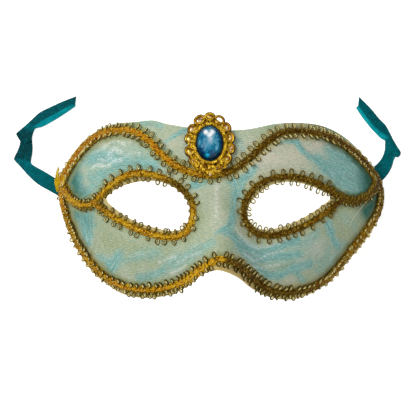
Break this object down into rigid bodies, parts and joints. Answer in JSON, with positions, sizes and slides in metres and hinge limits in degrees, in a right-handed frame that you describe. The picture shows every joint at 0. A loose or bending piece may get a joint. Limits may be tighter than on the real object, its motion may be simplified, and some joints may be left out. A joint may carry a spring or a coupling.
{
  "type": "masquerade half mask",
  "caption": "Lace-covered half mask for eyes and nose, with gold braid, a blue stone brooch at the brow and teal ribbon ties.",
  "frame": {"origin": "on the surface that the mask lies on, under the middle of the mask without its ribbons", "axes": "+X to the viewer's right across the mask, +Y from the nose to the forehead, +Z out of the face, up as it lies"},
  "size_m": [0.2103, 0.1103, 0.068],
  "materials": {
    "lace_shell": "turquoise and sage lace net bonded over a thin moulded shell, satin",
    "gold_braid": "metallic gold thread, plaited, with wire loops",
    "gold_setting": "bright stamped openwork, dark in the hollows",
    "blue_stone": "faceted acrylic stone, foil backed, polished",
    "teal_satin": "satin ribbon"
  },
  "bodies": {
    "root": {"mask_shell": "lace_shell", "braid_brow": "gold_braid", "braid_eye_left": "gold_braid", "braid_eye_right": "gold_braid", "braid_lower_rim": "gold_braid", "brooch_setting": "gold_setting", "brooch_gem": "blue_stone", "ribbon_left": "teal_satin", "ribbon_right": "teal_satin"}
  },
  "joints": []
}
